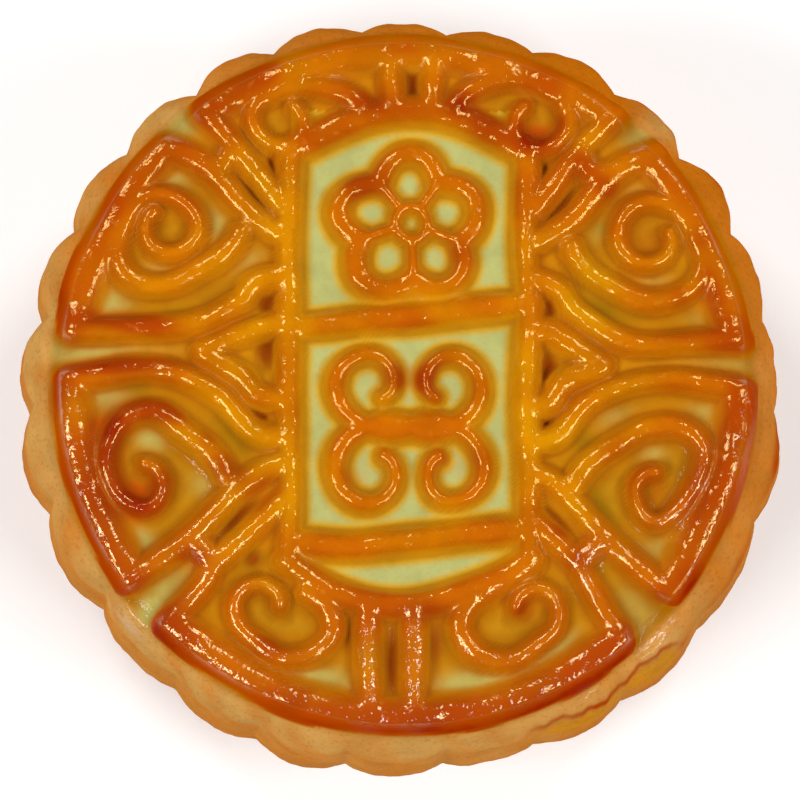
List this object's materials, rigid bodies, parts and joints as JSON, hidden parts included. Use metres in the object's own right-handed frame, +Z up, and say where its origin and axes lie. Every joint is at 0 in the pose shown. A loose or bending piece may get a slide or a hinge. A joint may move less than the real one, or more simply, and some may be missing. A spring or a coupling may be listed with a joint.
{
  "type": "red bean mooncake",
  "caption": "Whole pressed mooncake: a round cake with a scalloped side, a flat base and a moulded line pattern of frame, spirals and fans standing proud of its top. Eaten as a sweet.",
  "frame": {"origin": "middle of the flat base, on the surface that the cake stands on", "axes": "+Z up, through the top; +Y towards the top of the moulded pattern; +X to the pattern's right, seen from above"},
  "size_m": [0.0704, 0.0692, 0.03],
  "materials": {
    "crust": null
  },
  "bodies": {
    "root": {"mooncake": "crust"}
  },
  "joints": []
}
